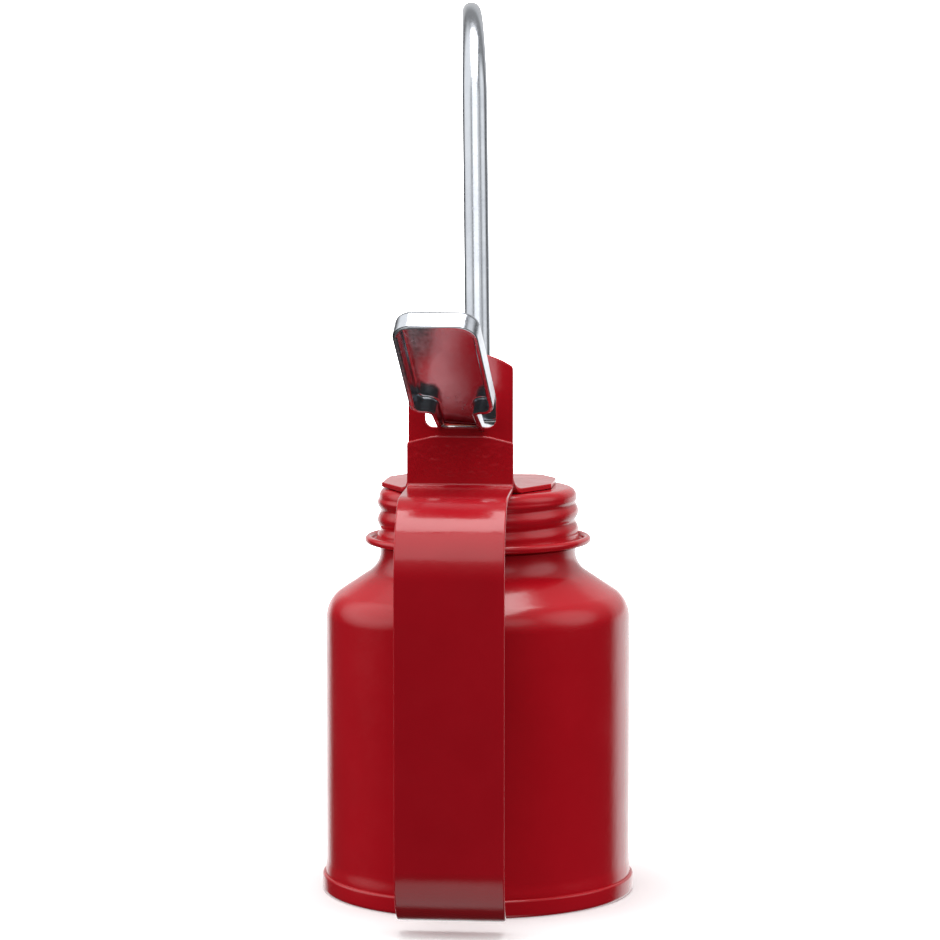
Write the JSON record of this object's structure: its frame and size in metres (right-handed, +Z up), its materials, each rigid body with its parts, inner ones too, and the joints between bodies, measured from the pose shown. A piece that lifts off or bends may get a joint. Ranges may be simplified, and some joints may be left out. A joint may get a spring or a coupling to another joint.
{
  "type": "thumb-lever pump oil can",
  "caption": "Small red bottle-shaped oil can with a screw cap, strip handle, bright thumb lever and a long curved delivery spout fed by a lift pump.",
  "frame": {"origin": "on the can's axis, at the level of the foot it stands on (the recessed bottom panel is 1 mm above it)", "axes": "+Z up along the can's axis, -Y towards the strip handle and the thumb lever, +Y the way the spout leans"},
  "size_m": [0.0772, 0.1426, 0.2211],
  "materials": {
    "red_enamel": "glossy enamel",
    "bright_zinc": "bright plated",
    "steel": "turned and ground",
    "brass": "drawn and turned",
    "rubber": "moulded",
    "leather": "oiled"
  },
  "bodies": {
    "can": {"can_body": "red_enamel", "can_bottom": "red_enamel"},
    "gasket": {"cap_gasket": "rubber"},
    "head": {"screw_cap": "red_enamel", "bracket": "red_enamel", "handle_strip": "red_enamel", "pump_barrel": "brass", "gland_washer": "steel", "gland_packing": "leather", "gland_nut": "bright_zinc", "barrel_seal_washer": "rubber", "barrel_lock_nut": "brass", "inlet_valve_body": "brass", "inlet_ball_pin": "steel", "suction_tube": "brass", "return_spring": "steel"},
    "lever": {"lever": "bright_zinc"},
    "plunger": {"piston": "brass", "piston_cup": "leather", "outlet_ball_pin": "steel", "plunger_rod": "steel", "lower_collar": "steel", "upper_collar": "steel"},
    "spout": {"spout": "bright_zinc", "spout_nut": "bright_zinc"},
    "inlet_ball": {"inlet_ball": "steel"},
    "outlet_ball": {"outlet_ball": "steel"}
  },
  "joints": [
    {"name": "cap_rise", "type": "slide", "parent": "can", "child": "gasket", "axis": [0, 0, 1], "range_m": [0, 0.01341]},
    {"name": "cap_unscrew", "type": "hinge", "parent": "gasket", "child": "head", "pos_m": [0, 0, 0.0925], "axis": [0, 0, 1], "range_deg": [0, 1080]},
    {"name": "lever_press", "type": "hinge", "parent": "head", "child": "lever", "pos_m": [-0.00215, -0.01888, 0.1169], "axis": [1, 0, 0], "range_deg": [0, 22]},
    {"name": "plunger_lift", "type": "slide", "parent": "head", "child": "plunger", "axis": [0, 0, 1], "range_m": [0, 0.0073], "stiffness_N_per_m": 900, "springref_m": -0.006, "deforming": ["return_spring"]},
    {"name": "spout_swivel", "type": "hinge", "parent": "plunger", "child": "spout", "pos_m": [0, 0, 0.12], "axis": [0, 0, 1], "continuous": true},
    {"name": "inlet_ball_lift", "type": "slide", "parent": "head", "child": "inlet_ball", "axis": [0, 0, 1], "range_m": [0, 0.0009]},
    {"name": "outlet_ball_lift", "type": "slide", "parent": "plunger", "child": "outlet_ball", "axis": [0, 0, 1], "range_m": [0, 0.0009]}
  ],
  "couplings": [
    {"joint": "cap_unscrew", "follows": "cap_rise", "rad_per_m": 1405.6},
    {"joint": "lever_press", "follows": "plunger_lift", "rad_per_m": 52.36}
  ]
}
